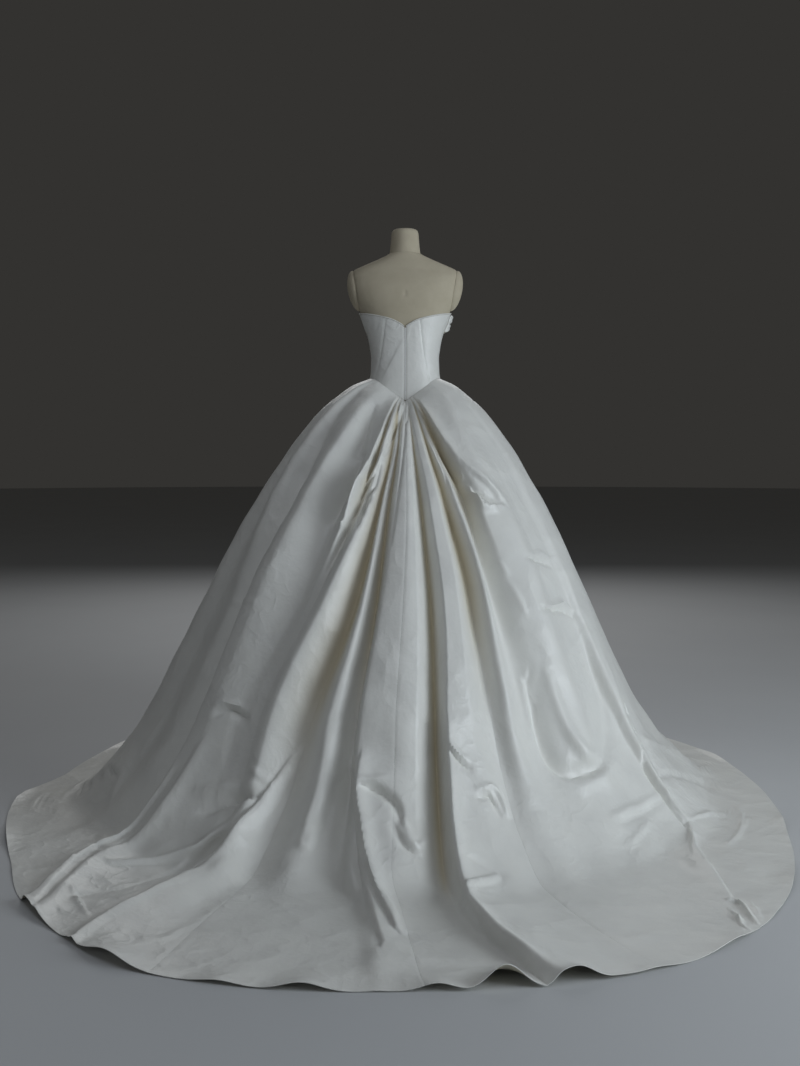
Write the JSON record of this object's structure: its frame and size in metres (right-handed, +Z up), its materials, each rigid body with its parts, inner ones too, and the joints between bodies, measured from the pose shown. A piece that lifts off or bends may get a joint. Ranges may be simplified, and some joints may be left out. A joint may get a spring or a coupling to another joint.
{
  "type": "wedding dress on a dress form",
  "caption": "Strapless satin wedding gown with basque waist, pleated full skirt and long train, on a limbless dress form with stand.",
  "frame": {"origin": "centre of the stand base's underside on the floor, under the form's axis", "axes": "+Z up, +X to the wearer's right, +Y to the wearer's front, the train runs towards -Y"},
  "size_m": [2.2058, 2.5285, 1.722],
  "materials": {
    "satin": "heavy ivory-white satin with a soft sheen",
    "zip": "white zip tape, matte",
    "form_cover": "plain linen cover, matte beige",
    "pole": "brushed tube",
    "base": "black paint, satin"
  },
  "bodies": {
    "root": {"skirt_front": "satin", "skirt_side_front_left": "satin", "skirt_side_front_right": "satin", "skirt_side_back_left": "satin", "skirt_side_back_right": "satin", "skirt_back_left": "satin", "skirt_back_right": "satin", "bodice_front": "satin", "bodice_side_front_left": "satin", "bodice_side_front_right": "satin", "bodice_side_back_left": "satin", "bodice_side_back_right": "satin", "bodice_back_left": "satin", "bodice_back_right": "satin", "neckline_edge": "satin", "side_bow": "satin", "back_zip": "zip", "form_torso": "form_cover", "form_neck": "form_cover", "form_cap_left": "form_cover", "form_cap_right": "form_cover", "stand_pole": "pole", "stand_base": "base"}
  },
  "joints": []
}
